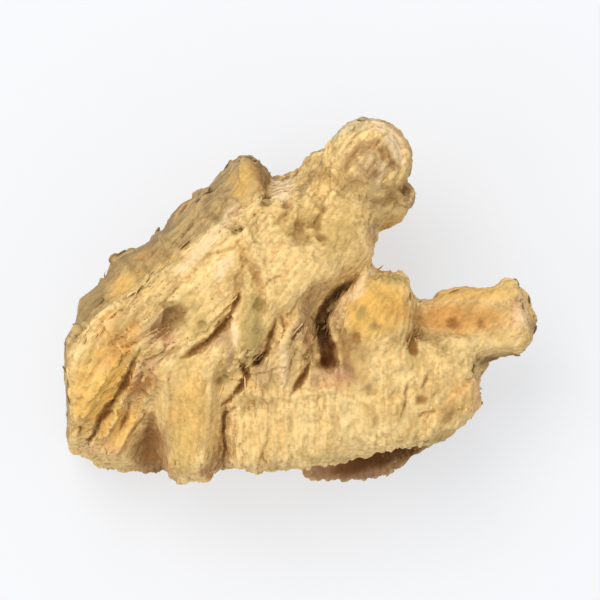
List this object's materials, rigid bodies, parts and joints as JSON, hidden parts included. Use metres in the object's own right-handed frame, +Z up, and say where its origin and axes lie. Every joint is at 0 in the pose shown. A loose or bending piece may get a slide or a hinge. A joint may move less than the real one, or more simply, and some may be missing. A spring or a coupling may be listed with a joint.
{
  "type": "butchers broom root",
  "caption": "Dried cut piece of a knobbly, ringed underground stem with shoot stumps and split wood, lying on a flat cut face as a natural prop or filler.",
  "frame": {"origin": "on the face that the piece lies on, under the middle of its box", "axes": "+Z up from the face that it lies on, +X along its greatest length, towards the right-hand shoot stump"},
  "size_m": [0.013, 0.01, 0.0072],
  "materials": {
    "dried_wood": "matte, dry, pale golden wood with grey-tan bark"
  },
  "bodies": {
    "root": {"rhizome_piece": "dried_wood"}
  },
  "joints": []
}
